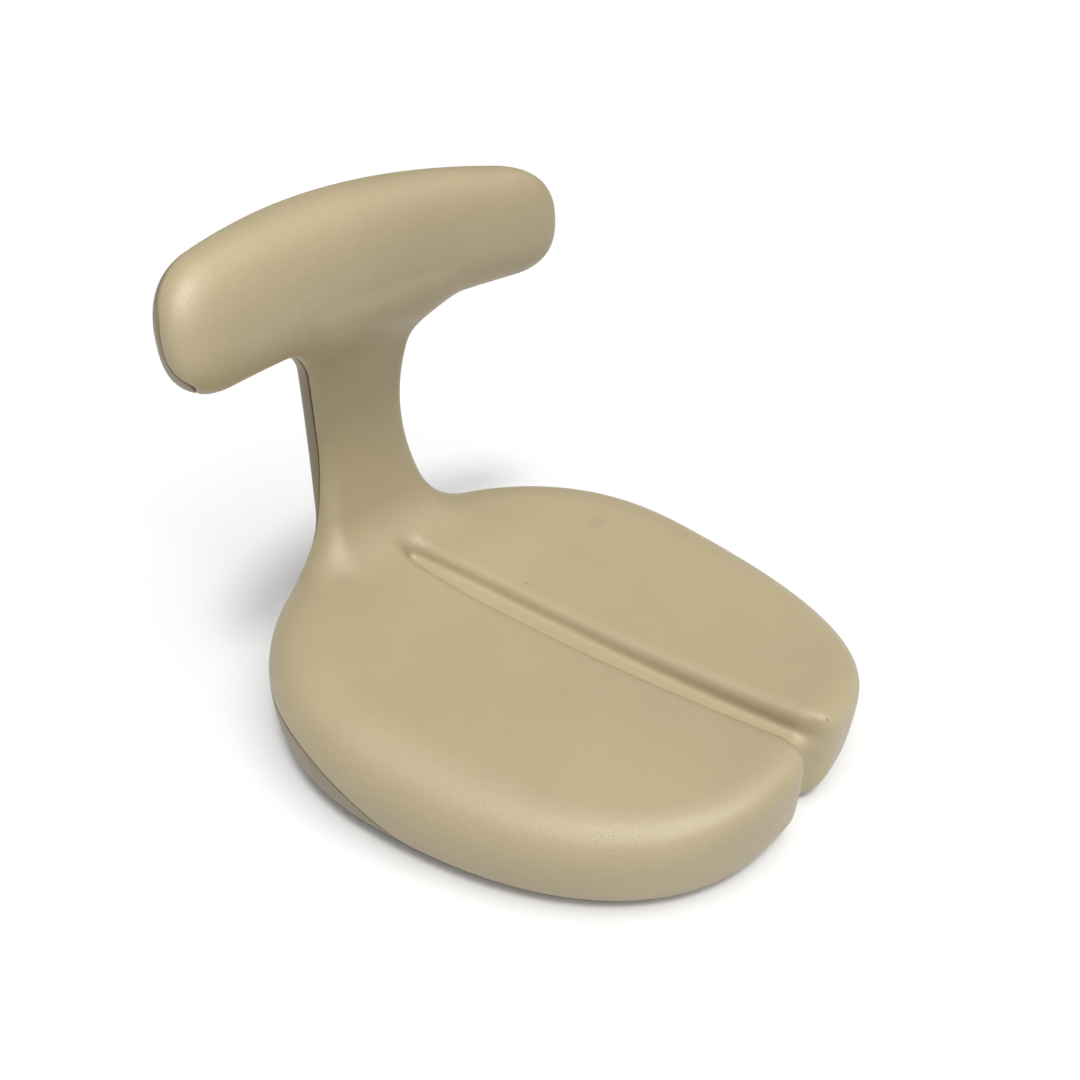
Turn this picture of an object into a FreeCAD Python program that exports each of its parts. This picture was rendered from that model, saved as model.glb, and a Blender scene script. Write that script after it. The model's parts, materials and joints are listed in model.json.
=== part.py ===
import FreeCAD, Part
import math
import os

import Sketcher
from FreeCAD import Placement, Rotation, Vector

# Legless floor chair: a seat cushion, a narrow curved neck and a wide lumbar bar moulded in one piece
# of firm skinned foam round a steel spine, closed from behind and below by a hollow rear shell.
# Frame: +Z up, -Y the way the sitter faces, X to the sides, origin under the middle of the chair.
# All lengths are millimetres.

DIMENSIONS = [
    # seat plan: a superellipse, square-shouldered at the front, rounder behind and narrowed to the front
    ("seat_half_width", 166.0),
    ("seat_middle_y", -8.5),
    ("seat_front_reach", 192.0),
    ("seat_rear_reach", 201.5),
    ("seat_front_power", 3.3),
    ("seat_rear_power", 2.35),
    ("seat_taper", -0.107),
    ("seat_barrel", -0.181),
    # seat height: level across at its sides, with a middle that dips behind and swells up in front
    ("underside_height", 2.0),
    ("seat_base_thickness", 47.0),
    ("seat_rear_slope", 0.1),
    ("seat_middle_lift", -4.6),
    ("seat_middle_slope", 16.7),
    ("seat_middle_curve", 11.0),
    ("seat_edge_radius", 13.0),
    # groove and notch
    ("groove_half_width", 8.7),
    ("groove_depth", 14.0),
    ("groove_end_y", 132.0),
    ("notch_depth", 20.0),
    # neck: a flat section along an arc, flared to both ends
    ("neck_arc_radius", 206.0),
    ("neck_rear_y", 180.7),
    ("neck_middle_z", 162.0),
    ("neck_half_width", 41.0),
    ("neck_half_thickness", 12.5),
    ("neck_flare", 0.555),
    # lumbar bar: a superellipse section along an arc seen from above, smaller at its ends
    ("bar_middle_y", 166.0),
    ("bar_middle_z", 285.5),
    ("bar_half_length", 176.0),
    ("bar_forward_sweep", 34.4),
    ("bar_end_drop", 5.9),
    ("bar_half_height", 44.7),
    ("bar_half_depth", 34.2),
    ("bar_height_loss", 10.3),
    ("bar_depth_loss", 15.5),
    ("bar_section_power", 2.46),
    ("bar_end_round", 46.0),
    # rear shell
    ("shell_wall", 3.5),
    ("shell_clearance", 0.4),
    ("shell_front_y", -49.0),
    ("shell_top_z", 52.0),
    ("neck_parting_inset", 5.0),
    ("bar_parting_offset", 3.0),
    ("bar_parting_lean", 0.35),
    ("bar_parting_drop", 41.0),
    # base cover and seat board
    ("cover_width", 236.0),
    ("cover_depth", 260.0),
    ("cover_corner", 80.0),
    ("cover_thickness", 3.0),
    ("base_middle_y", -20.0),
    ("base_clearance", 0.5),
    ("board_width", 232.0),
    ("board_depth", 256.0),
    ("board_corner", 78.0),
    ("board_thickness", 12.0),
    # steel spine: one bent flat bar
    ("spine_width", 50.0),
    ("spine_thickness", 6.0),
    ("spine_foot_front_y", -75.0),
    ("spine_offset", 1.0),
    ("spine_lower_bend", 34.0),
    ("spine_upper_bend", 25.0),
    ("spine_tab_y", 160.0),
    ("spine_top_z", 309.0),
    # steel lumbar plate
    ("plate_thickness", 4.0),
    ("plate_height", 50.0),
    ("plate_half_length", 130.0),
    ("plate_gap", 0.8),
    # fasteners and feet
    ("bolt_radius", 3.0),
    ("bolt_hole_radius", 3.3),
    ("bolt_head_radius", 5.2),
    ("bolt_head_height", 4.0),
    ("bolt_socket_radius", 2.9),
    ("bolt_side_x", 15.0),
    ("bolt_front_y", -55.0),
    ("bolt_rear_y", 50.0),
    ("nut_barrel_radius", 4.0),
    ("nut_hole_radius", 4.3),
    ("nut_seat_radius", 9.4),
    ("nut_flange_radius", 9.0),
    ("nut_flange_thickness", 1.5),
    ("lumbar_bolt_low_z", 271.0),
    ("lumbar_bolt_high_z", 297.0),
    ("hex_nut_radius", 5.8),
    ("hex_nut_height", 5.0),
    ("foot_radius", 12.0),
    ("foot_height", 2.0),
    ("foot_spigot_radius", 5.0),
    ("foot_side_x", 84.0),
    ("foot_front_y", -105.0),
    ("foot_rear_y", 62.0),
    ("screw_radius", 2.0),
    ("screw_hole_radius", 2.3),
    ("spine_screw_hole_radius", 3.6),
    ("screw_head_radius", 4.0),
    ("screw_head_height", 1.2),
    ("boss_radius", 9.0),
    ("cap_radius", 6.4),
    ("cap_thickness", 1.5),
    ("cap_sink", 0.2),
    ("shell_screw_low_z", 118.0),
    ("shell_screw_high_z", 206.0),
    ("shell_screw_side_x", 95.0),
]

doc = FreeCAD.newDocument("FloorChair")
sheet = doc.addObject("Spreadsheet::Sheet", "Dimensions")
for row, (alias, value) in enumerate(DIMENSIONS, start=1):
    sheet.set("A%d" % row, alias)
    sheet.set("B%d" % row, str(value))
    sheet.setAlias("B%d" % row, alias)
doc.recompute()

parts = []


def dim(alias):
    return float(sheet.get(alias))


def bind(feature, target, expression):
    feature.setExpression(target, expression)


def keep(feature, label):
    feature.Label = label
    parts.append(feature)
    return feature


def shape_part(label, shape):
    feature = doc.addObject("Part::Feature", label + "_feature")
    feature.Shape = shape
    feature.Placement = Placement()
    return keep(feature, label)


# ---------------------------------------------------------------- outer form

UNDERSIDE = dim("underside_height")
NECK_CENTRE_Y = dim("neck_rear_y") - dim("neck_arc_radius")

# How far above the underside and below the bar's middle the neck starts and stops, hidden in the
# seat and the bar, and the distance from its middle over which it flares once.
NECK_START = 28.0
NECK_STOP = 18.0
NECK_REACH = 102.5


def prism(points, direction):
    return Part.Face(Part.makePolygon(points + points[:1])).extrude(direction)


def box(low, high):
    size = high - low
    return Part.makeBox(size.x, size.y, size.z, low)


def seat_outline_wire(inset):
    """The plan of the seat as one closed curve, shrunk by the inset."""
    count = 40
    points = []
    for step in range(count):
        angle = 2 * math.pi * (step + 0.5) / count
        across, along = math.cos(angle), math.sin(angle)
        behind = along > 0
        power = dim("seat_rear_power") if behind else dim("seat_front_power")
        reach = (dim("seat_rear_reach") if behind else dim("seat_front_reach")) - inset
        length = (abs(across) ** power + abs(along) ** power) ** (-1 / power)
        y = length * along * reach
        part = max(-1.0, min(1.0, -y / dim("seat_front_reach")))
        taper = 1 + dim("seat_taper") * part + dim("seat_barrel") * (part * part - 0.5)
        x = length * across * (dim("seat_half_width") * taper - inset)
        points.append(Vector(x, dim("seat_middle_y") + y, 0))
    curve = Part.BSplineCurve()
    curve.interpolate(points, PeriodicFlag=True)
    return Part.Wire(curve.toShape())


# How far the widest part of the seat stands outside its nominal half width.
WIDEST_BULGE = 19.0


def seat_top_z(x, y):
    """The height of the seat: a slope along it, and a swell across it that fades out to the sides."""
    front_y = dim("seat_middle_y") - dim("seat_front_reach")
    part = max(-1.0, min(1.0, (dim("seat_middle_y") - y) / dim("seat_front_reach")))
    swell = dim("seat_middle_lift") + dim("seat_middle_slope") * part + dim("seat_middle_curve") * part ** 2
    across = 1 - (x / dim("seat_half_width")) ** 2
    slope = dim("seat_rear_slope") * (y - front_y)
    return UNDERSIDE + dim("seat_base_thickness") + slope + swell * across


def seat_solid(inset, bottom):
    """The seat block between the bottom height and its swelling top, with rounded top edges."""
    half = dim("seat_half_width") + WIDEST_BULGE
    front = dim("seat_middle_y") - dim("seat_front_reach") - 1
    rear = dim("seat_middle_y") + dim("seat_rear_reach") + 1
    count = 10
    rows = []
    for row in range(count + 1):
        x = -half + 2 * half * row / count
        stations = [front + (rear - front) * step / count for step in range(count + 1)]
        rows.append([Vector(x, y, seat_top_z(x, y) - inset) for y in stations])
    top = Part.BSplineSurface()
    top.interpolate(rows)
    below = top.toShape().extrude(Vector(0, 0, -200))
    outline = Part.Face(seat_outline_wire(inset))
    outline.translate(Vector(0, 0, bottom))
    block = outline.extrude(Vector(0, 0, 200)).common(below)
    radius = dim("seat_edge_radius") - inset
    rim = [edge for edge in block.Edges if edge.BoundBox.ZMin > bottom + 20 and edge.Length > 100]
    rounded = block.makeFillet(radius, rim)
    return rounded if rounded.isValid() and rounded.Solids else block


def neck_middle_y(z):
    return NECK_CENTRE_Y + math.sqrt(dim("neck_arc_radius") ** 2 - (z - dim("neck_middle_z")) ** 2)


def rounded_rectangle(middle, half_x, half_y, radius):
    """A horizontal wire of four sides joined by four quarter arcs."""
    edges = []
    signs = [(1, -1), (1, 1), (-1, 1), (-1, -1)]
    for index, (side_x, side_y) in enumerate(signs):
        centre = middle + Vector(side_x * (half_x - radius), side_y * (half_y - radius), 0)
        start = -90 + 90 * index
        circle = Part.Circle(centre, Vector(0, 0, 1), radius)
        edges.append(Part.Arc(circle, math.radians(start), math.radians(start + 90)).toShape())
    joined = []
    for index, arc in enumerate(edges):
        following = edges[(index + 1) % 4]
        joined.append(arc)
        joined.append(Part.makeLine(arc.Vertexes[-1].Point, following.Vertexes[0].Point))
    return Part.Wire(joined)


def neck_solid(inset):
    """The neck lofted through flat rounded sections that flare towards the seat and the bar."""
    low = UNDERSIDE + NECK_START
    high = dim("bar_middle_z") - NECK_STOP
    count = 7
    wires = []
    for step in range(count):
        z = low + (high - low) * step / (count - 1)
        offset = (z - dim("neck_middle_z")) / NECK_REACH
        half_x = dim("neck_half_width") * (1 + dim("neck_flare") * offset * offset) - inset
        half_y = dim("neck_half_thickness") - inset
        wires.append(rounded_rectangle(Vector(0, neck_middle_y(z), z), half_x, half_y, half_y - 1.5))
    return Part.makeLoft(wires, True, False)


def bar_middle(x):
    part = x / dim("bar_half_length")
    y = dim("bar_middle_y") - dim("bar_forward_sweep") * part * part
    z = dim("bar_middle_z") - dim("bar_end_drop") * part * part
    return Vector(x, y, z)


def bar_section(x, inset):
    """One closed section of the bar, drawn in towards the rounded end."""
    part = x / dim("bar_half_length")
    end = max(0.0, (abs(x) - dim("bar_half_length") + dim("bar_end_round")) / dim("bar_end_round"))
    shrink = (1 - min(end, 0.985) ** 2.6) ** (1 / 2.2)
    depth = (dim("bar_half_depth") - dim("bar_depth_loss") * part * part) * shrink - inset
    height = (dim("bar_half_height") - dim("bar_height_loss") * part * part) * shrink - inset
    power = dim("bar_section_power")
    middle = bar_middle(x)
    count = 16
    points = []
    for step in range(count):
        angle = 2 * math.pi * (step + 0.5) / count
        along, up = math.cos(angle), math.sin(angle)
        length = (abs(along) ** power + abs(up) ** power) ** (-1 / power)
        points.append(middle + Vector(0, depth * length * along, height * length * up))
    curve = Part.BSplineCurve()
    curve.interpolate(points, PeriodicFlag=True)
    return Part.Wire(curve.toShape())


def bar_solid(inset):
    """The bar lofted through sections from one end to the other."""
    end = dim("bar_half_length") - inset
    shares = [0.0, 0.25, 0.5, 0.7, 0.8, 0.88, 0.94, 0.98, 1.0]
    positions = [-share * end for share in reversed(shares[1:])] + [share * end for share in shares]
    return Part.makeLoft([bar_section(x, inset) for x in positions], True, False)


def chair_form(inset, bottom):
    """Seat, neck and bar as one solid, shrunk by the inset."""
    return seat_solid(inset, bottom).fuse([neck_solid(inset), bar_solid(inset)])


# ---------------------------------------------------------------- parting between foam and shell


# The side edge of the shell: how far back from its front tip it has reached each height.
SHELL_SIDE_LINE = [(0, 0), (37, 19), (78, 39), (122, 48)]
SHELL_SIDE_RUN = 165.0
OUTSIDE = 260.0


def shell_region(shift):
    """Everything below and behind the parting surface, moved out towards the foam by the shift."""
    far = OUTSIDE
    front_y, top_z = dim("shell_front_y") - shift, dim("shell_top_z") + shift
    line = [Vector(-far, front_y + back, z) for back, z in SHELL_SIDE_LINE]
    points = [Vector(-far, front_y - 20, -10)] + line + [Vector(-far, front_y + SHELL_SIDE_RUN, top_z)]
    points += [Vector(-far, far, top_z), Vector(-far, far, -10)]
    below = prism(points, Vector(2 * far, 0, 0))

    low, high = top_z - 2, dim("bar_middle_z") - 30
    inset = dim("neck_parting_inset") + shift
    middle = dim("neck_middle_z")
    ends = [Vector(-75, neck_middle_y(z) - inset, z) for z in (low, middle, high)]
    edges = [Part.Arc(*ends).toShape()]
    corners = [ends[2], Vector(-75, far, high), Vector(-75, far, low), ends[0]]
    edges += [Part.makeLine(a, b) for a, b in zip(corners, corners[1:])]
    behind_neck = Part.Face(Part.Wire(edges)).extrude(Vector(150, 0, 0))

    bottom = dim("bar_middle_z") - dim("bar_parting_drop")
    lean = dim("bar_parting_lean")
    reach = 190.0
    span = 120.0
    back = dim("bar_parting_offset") - shift + lean * (bottom - dim("bar_middle_z"))
    ends = [bar_middle(x) + Vector(0, back, 0) for x in (-reach, 0, reach)]
    ends = [Vector(point.x, point.y, bottom) for point in ends]
    edges = [Part.Arc(*ends).toShape()]
    corners = [ends[2], Vector(reach, far, bottom), Vector(-reach, far, bottom), ends[0]]
    edges += [Part.makeLine(a, b) for a, b in zip(corners, corners[1:])]
    behind_bar = Part.Face(Part.Wire(edges)).extrude(Vector(0, lean * span, span))
    return below.fuse([behind_neck, behind_bar])


def largest_solid(shape):
    """The one useful solid of a cut, without the crumbs that it can leave."""
    print("cut pieces, cm3:", [round(solid.Volume / 1000, 2) for solid in shape.Solids])
    return max(shape.Solids, key=lambda solid: solid.Volume)


def base_opening(grow, bottom, top):
    """The rounded opening in the underside that takes the board and the base cover."""
    middle = Vector(0, dim("base_middle_y"), bottom)
    half_x = dim("cover_width") / 2 + grow
    half_y = dim("cover_depth") / 2 + grow
    wire = rounded_rectangle(middle, half_x, half_y, dim("cover_corner") + grow)
    return Part.Face(wire).extrude(Vector(0, 0, top - bottom))


# ---------------------------------------------------------------- places of the stacked frame pieces

COVER_TOP = UNDERSIDE + dim("cover_thickness")
BOARD_TOP = COVER_TOP + dim("board_thickness")
SPINE_TOP = BOARD_TOP + dim("spine_thickness")
PLATE_REAR_Y = dim("spine_tab_y") - dim("spine_thickness") / 2 - dim("plate_gap")
PLATE_LOW_Z = (dim("lumbar_bolt_low_z") + dim("lumbar_bolt_high_z") - dim("plate_height")) / 2


NECK_BOSS_DEPTH = 15.5
BAR_BOSS_DEPTH = 38.0
BOSS_START = 8.2
RECESS_DEPTH = 4.5


def shell_screw_seats():
    """Place and outward direction of each shell screw, on the outer face of the shell."""
    seats = []
    for z in (dim("shell_screw_low_z"), dim("shell_screw_high_z")):
        angle = math.asin((z - dim("neck_middle_z")) / dim("neck_arc_radius"))
        outward = Vector(0, math.cos(angle), math.sin(angle))
        centre = Vector(0, NECK_CENTRE_Y, dim("neck_middle_z"))
        outer = centre + outward * (dim("neck_arc_radius") + dim("neck_half_thickness"))
        seats.append((outer, outward, NECK_BOSS_DEPTH))
    for side in (-1, 1):
        x = side * dim("shell_screw_side_x")
        part = x / dim("bar_half_length")
        depth = dim("bar_half_depth") - dim("bar_depth_loss") * part * part
        slope = -2 * (dim("bar_forward_sweep") + dim("bar_depth_loss")) * x / dim("bar_half_length") ** 2
        outward = Vector(-slope, 1, 0).normalize()
        seats.append((bar_middle(x) + Vector(0, depth, 0), outward, BAR_BOSS_DEPTH))
    return seats


POCKET_GAP = 5.5
TAB_HALF_WIDTH = 27.0
TAB_POCKET_REAR = 190.0


def cushion_moulding():
    """Foam body: the chair form in front of the parting, with its groove, notch and frame pockets."""
    form = chair_form(0.0, UNDERSIDE)
    cutters = [shell_region(dim("shell_clearance"))]
    cutters.append(base_opening(dim("base_clearance"), 0.0, BOARD_TOP + 0.4))
    half = dim("spine_width") / 2 + 1
    cutters.append(box(Vector(-half, dim("spine_foot_front_y") - 1, 0), Vector(half, 30, SPINE_TOP + 5)))
    plate_y = dim("spine_tab_y") - dim("spine_thickness") / 2 - dim("plate_thickness") - POCKET_GAP
    tab_low = Vector(-TAB_HALF_WIDTH, plate_y, PLATE_LOW_Z - 3)
    tab_high = Vector(TAB_HALF_WIDTH, TAB_POCKET_REAR, dim("spine_top_z") + 1.5)
    cutters.append(box(tab_low, tab_high))
    cutters.append(lumbar_strip(1.0))
    for outer, outward, depth in shell_screw_seats()[2:]:
        cutters.append(Part.makeCylinder(dim("boss_radius") + 1, depth, outer - outward * depth, outward))
    cutters += groove_cutters()
    return largest_solid(form.cut(cutters))


def groove_cutters():
    """A round-bottomed trough along the middle of the seat, open at the front as a through notch."""
    front_y = dim("seat_middle_y") - dim("seat_front_reach")
    half = dim("groove_half_width")
    count = 6
    end_y = dim("groove_end_y")
    floor = []
    for step in range(count + 1):
        y = front_y - 5 + (end_y - front_y + 5) * step / count
        depth = dim("groove_depth") * math.sqrt(min(1.0, (end_y - y) / 60.0)) if y < end_y else 0.0
        floor.append(Vector(-half, y, seat_top_z(0, y) - depth))
    curve = Part.BSplineCurve()
    curve.interpolate(floor)
    corners = [floor[-1], Vector(-half, end_y, 140), Vector(-half, front_y - 5, 140), floor[0]]
    edges = [curve.toShape()] + [Part.makeLine(a, b) for a, b in zip(corners, corners[1:])]
    trough = Part.Face(Part.Wire(edges)).extrude(Vector(2 * half, 0, 0))
    notch = box(Vector(-half, front_y - 5, -5), Vector(half, front_y + dim("notch_depth"), 140))
    return [trough, notch]


def rear_shell():
    """Hollow shell behind the neck and bar and round the lower rear of the seat, with screw bosses."""
    wall = dim("shell_wall")
    region = shell_region(0.0)
    form = chair_form(0.0, UNDERSIDE)
    shell = form.common(region).cut(chair_form(wall, UNDERSIDE + wall))
    shell = shell.cut(base_opening(dim("base_clearance"), 0.0, UNDERSIDE + wall + 1))
    for outer, outward, depth in shell_screw_seats():
        boss_end = min(BOSS_START, depth) if outward.x == 0 else depth - 4
        boss = Part.makeCylinder(dim("boss_radius"), boss_end - 1.0, outer - outward * boss_end, outward)
        recess = Part.makeCylinder(dim("cap_radius") + 0.3, 20, outer - outward * RECESS_DEPTH, outward)
        hole = Part.makeCylinder(dim("screw_hole_radius"), 80, outer - outward * 60, outward)
        shell = shell.fuse(boss.common(form)).cut([recess, hole])
    return largest_solid(shell)


# ---------------------------------------------------------------- sketch helpers


def origin_plane(body, role):
    return next(feature for feature in body.Origin.OriginFeatures if feature.Role == role)


def new_body(name):
    return doc.addObject("PartDesign::Body", name)


def new_sketch(body, name, role="XY_Plane"):
    sketch = body.newObject("Sketcher::SketchObject", name)
    sketch.AttachmentSupport = [(origin_plane(body, role), "")]
    sketch.MapMode = "FlatFace"
    return sketch


def rounded_plate_sketch(body, name, width, depth, corner):
    """A centred rounded rectangle held by constraints that follow the sheet."""
    sketch = new_sketch(body, name)
    half_x, half_y, radius = dim(width) / 2, dim(depth) / 2, dim(corner)
    low_x, low_y = half_x - radius, half_y - radius
    sides = [
        (Vector(-low_x, -half_y, 0), Vector(low_x, -half_y, 0)),
        (Vector(half_x, -low_y, 0), Vector(half_x, low_y, 0)),
        (Vector(low_x, half_y, 0), Vector(-low_x, half_y, 0)),
        (Vector(-half_x, low_y, 0), Vector(-half_x, -low_y, 0)),
    ]
    for start, end in sides:
        sketch.addGeometry(Part.LineSegment(start, end), False)
    corners = [(low_x, -low_y), (low_x, low_y), (-low_x, low_y), (-low_x, -low_y)]
    for index, (x, y) in enumerate(corners):
        circle = Part.Circle(Vector(x, y, 0), Vector(0, 0, 1), radius)
        start = math.radians(-90 + 90 * index)
        sketch.addGeometry(Part.ArcOfCircle(circle, start, start + math.pi / 2), False)
    for index in range(4):
        sketch.addConstraint(Sketcher.Constraint("Tangent", index, 2, 4 + index, 1))
        sketch.addConstraint(Sketcher.Constraint("Tangent", 4 + index, 2, (index + 1) % 4, 1))
        sketch.addConstraint(Sketcher.Constraint("Horizontal" if index % 2 == 0 else "Vertical", index))
    for index in range(3):
        sketch.addConstraint(Sketcher.Constraint("Equal", 4 + index, 5 + index))
    sketch.addConstraint(Sketcher.Constraint("Symmetric", 4, 3, 6, 3, -1, 1))
    sizes = [
        (Sketcher.Constraint("DistanceX", 3, 1, 1, 1, 2 * half_x), "width", width),
        (Sketcher.Constraint("DistanceY", 0, 1, 2, 1, 2 * half_y), "depth", depth),
        (Sketcher.Constraint("Radius", 4, radius), "corner", corner),
    ]
    for constraint, label, alias in sizes:
        index = sketch.addConstraint(constraint)
        sketch.renameConstraint(index, label)
        bind(sketch, "Constraints." + label, "Dimensions." + alias)
    return sketch


def pad(body, sketch, name, length, midplane=False):
    feature = body.newObject("PartDesign::Pad", name)
    feature.Profile = sketch
    feature.Midplane = midplane
    bind(feature, "Length", length)
    return feature


def drill(body, name, role, radius, centres, depth=None):
    """Round holes at the given centres, right through or, with a depth, from the sketch plane inwards."""
    sketch = new_sketch(body, name + "_sketch", role)
    for index, (x, y) in enumerate(centres):
        sketch.addGeometry(Part.Circle(Vector(x, y, 0), Vector(0, 0, 1), dim(radius)), False)
        sketch.addConstraint(Sketcher.Constraint("DistanceX", -1, 1, index, 3, x))
        sketch.addConstraint(Sketcher.Constraint("DistanceY", -1, 1, index, 3, y))
        if index:
            sketch.addConstraint(Sketcher.Constraint("Equal", 0, index))
    size = sketch.addConstraint(Sketcher.Constraint("Radius", 0, dim(radius)))
    sketch.renameConstraint(size, "hole")
    bind(sketch, "Constraints.hole", "Dimensions." + radius)
    pocket = body.newObject("PartDesign::Pocket", name)
    pocket.Profile = sketch
    if depth is None:
        pocket.Type = "ThroughAll"
        pocket.Midplane = True
    else:
        pocket.Reversed = True
        bind(pocket, "Length", depth)
    return pocket


# ---------------------------------------------------------------- base cover and seat board


def grid(side_x, front_y, rear_y, middle_y=0.0):
    return [(side * dim(side_x), dim(end) - middle_y) for side in (-1, 1) for end in (front_y, rear_y)]


FOOT_PLACES = grid("foot_side_x", "foot_front_y", "foot_rear_y")
BOLT_PLACES = grid("bolt_side_x", "bolt_front_y", "bolt_rear_y")


def moved(places, shift_y):
    return [(x, y - shift_y) for x, y in places]


def base_cover():
    body = new_body("base_cover_body")
    sketch = rounded_plate_sketch(body, "cover_outline", "cover_width", "cover_depth", "cover_corner")
    pad(body, sketch, "cover_pad", "Dimensions.cover_thickness")
    places = moved(FOOT_PLACES, dim("base_middle_y"))
    drill(body, "cover_holes", "XY_Plane", "foot_spigot_radius", places)
    bind(body, "Placement.Base.y", "Dimensions.base_middle_y")
    bind(body, "Placement.Base.z", "Dimensions.underside_height")
    return keep(body, "base_cover")


def seat_board():
    body = new_body("seat_board_body")
    sketch = rounded_plate_sketch(body, "board_outline", "board_width", "board_depth", "board_corner")
    pad(body, sketch, "board_pad", "Dimensions.board_thickness")
    shift = dim("base_middle_y")
    drill(body, "board_pilot_holes", "XY_Plane", "screw_hole_radius", moved(FOOT_PLACES, shift))
    drill(body, "board_nut_holes", "XY_Plane", "nut_hole_radius", moved(BOLT_PLACES, shift))
    flange = "Dimensions.nut_flange_thickness + 0.3"
    drill(body, "board_flange_seats", "XY_Plane", "nut_seat_radius", moved(BOLT_PLACES, shift), flange)
    bind(body, "Placement.Base.y", "Dimensions.base_middle_y")
    bind(body, "Placement.Base.z", "Dimensions.underside_height + Dimensions.cover_thickness")
    return keep(body, "seat_board")


# ---------------------------------------------------------------- steel spine and lumbar plate


def spine_profile(side):
    """One face of the bent bar in the YZ plane, half the thickness to one side of its middle line."""
    away = side * dim("spine_thickness") / 2
    centre_y, centre_z = NECK_CENTRE_Y, dim("neck_middle_z")
    arc = dim("neck_arc_radius") + dim("spine_offset")
    lower, upper = dim("spine_lower_bend"), dim("spine_upper_bend")
    foot_z = BOARD_TOP + dim("spine_thickness") / 2
    low_centre_z = foot_z + lower
    low_centre_y = centre_y + math.sqrt((arc - lower) ** 2 - (low_centre_z - centre_z) ** 2)
    high_centre_y = dim("spine_tab_y") + upper
    high_centre_z = centre_z + math.sqrt((arc + upper) ** 2 - (high_centre_y - centre_y) ** 2)
    low_angle = math.atan2(low_centre_z - centre_z, low_centre_y - centre_y)
    high_angle = math.atan2(high_centre_z - centre_z, high_centre_y - centre_y)

    def on(centre, radius, angle):
        return (centre[0] + radius * math.cos(angle), centre[1] + radius * math.sin(angle))

    low_centre, high_centre = (low_centre_y, low_centre_z), (high_centre_y, high_centre_z)
    middle = (low_angle + high_angle) / 2
    bend = (low_angle - math.pi / 2) / 2
    turn = (math.pi + high_angle + math.pi) / 2
    return [
        (dim("spine_foot_front_y"), foot_z - away),
        (low_centre_y, foot_z - away),
        on(low_centre, lower + away, bend),
        on(low_centre, lower + away, low_angle),
        on((centre_y, centre_z), arc + away, middle),
        on(high_centre, upper - away, high_angle + math.pi),
        on(high_centre, upper - away, turn),
        (dim("spine_tab_y") + away, high_centre_z),
        (dim("spine_tab_y") + away, dim("spine_top_z")),
    ]


def spine_edges(points):
    """Line, arc, arc, arc and line through one face's points, in the sketch's own axes."""
    flat = [Vector(y, z, 0) for y, z in points]
    return [
        Part.LineSegment(flat[0], flat[1]),
        Part.Arc(flat[1], flat[2], flat[3]),
        Part.Arc(flat[3], flat[4], flat[5]),
        Part.Arc(flat[5], flat[6], flat[7]),
        Part.LineSegment(flat[7], flat[8]),
    ]


LUMBAR_BOLTS = [(side * dim("bolt_side_x"), dim(height)) for side in (-1, 1)
                for height in ("lumbar_bolt_low_z", "lumbar_bolt_high_z")]


def spine_bar():
    body = new_body("spine_bar_body")
    sketch = new_sketch(body, "spine_side", "YZ_Plane")
    front, rear = spine_profile(-1), spine_profile(1)
    for edge in spine_edges(front) + spine_edges(rear):
        sketch.addGeometry(edge, False)
    for end in (0, -1):
        sketch.addGeometry(Part.LineSegment(Vector(*front[end], 0), Vector(*rear[end], 0)), False)
    pad(body, sketch, "spine_pad", "Dimensions.spine_width", midplane=True)
    drill(body, "spine_foot_holes", "XY_Plane", "bolt_hole_radius", BOLT_PLACES)
    drill(body, "spine_tab_holes", "XZ_Plane", "bolt_hole_radius", LUMBAR_BOLTS)
    neck_screws = [(0.0, dim("shell_screw_low_z")), (0.0, dim("shell_screw_high_z"))]
    drill(body, "spine_screw_holes", "XZ_Plane", "spine_screw_hole_radius", neck_screws)
    return keep(body, "spine_bar")


def plate_arc(y, half_length):
    """An arc seen from above, concentric with the sweep of the bar, through the given middle point."""
    radius = dim("bar_half_length") ** 2 / (2 * dim("bar_forward_sweep"))
    drop = radius - math.sqrt(radius ** 2 - half_length ** 2)
    return Part.Arc(Vector(-half_length, y - drop, 0), Vector(0, y, 0), Vector(half_length, y - drop, 0))


def plate_outline(grow):
    half_length = dim("plate_half_length") + grow
    rear = plate_arc(PLATE_REAR_Y + grow, half_length)
    front = plate_arc(PLATE_REAR_Y - dim("plate_thickness") - grow, half_length)
    rear_ends, front_ends = rear.toShape().Vertexes, front.toShape().Vertexes
    ends = [Part.LineSegment(rear_ends[i].Point, front_ends[i].Point) for i in (0, 1)]
    return [rear, front] + ends


def lumbar_strip(grow):
    """The room that the lumbar plate takes in the foam."""
    edges = [curve.toShape() for curve in plate_outline(grow)]
    face = Part.Face(Part.Wire(Part.__sortEdges__(edges)))
    face.translate(Vector(0, 0, PLATE_LOW_Z - grow))
    return face.extrude(Vector(0, 0, dim("plate_height") + 2 * grow))


def lumbar_plate():
    body = new_body("lumbar_plate_body")
    sketch = new_sketch(body, "plate_plan")
    for curve in plate_outline(0.0):
        sketch.addGeometry(curve, False)
    pad(body, sketch, "plate_pad", "Dimensions.plate_height")
    places = [(x, z - PLATE_LOW_Z) for x, z in LUMBAR_BOLTS]
    drill(body, "plate_bolt_holes", "XZ_Plane", "bolt_hole_radius", places)
    body.Placement = Placement(Vector(0, 0, PLATE_LOW_Z), Rotation())
    return keep(body, "lumbar_plate")


# ---------------------------------------------------------------- turned pieces


def cylinder(label, radius, height, start=0.0):
    """A cylinder along +Z whose radius and height follow the sheet."""
    feature = doc.addObject("Part::Cylinder", label)
    bind(feature, "Radius", radius)
    bind(feature, "Height", height)
    feature.Placement = Placement(Vector(0, 0, start), Rotation())
    return feature


def joined(label, shapes):
    feature = doc.addObject("Part::MultiFuse", label)
    feature.Shapes = shapes
    return feature


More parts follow.
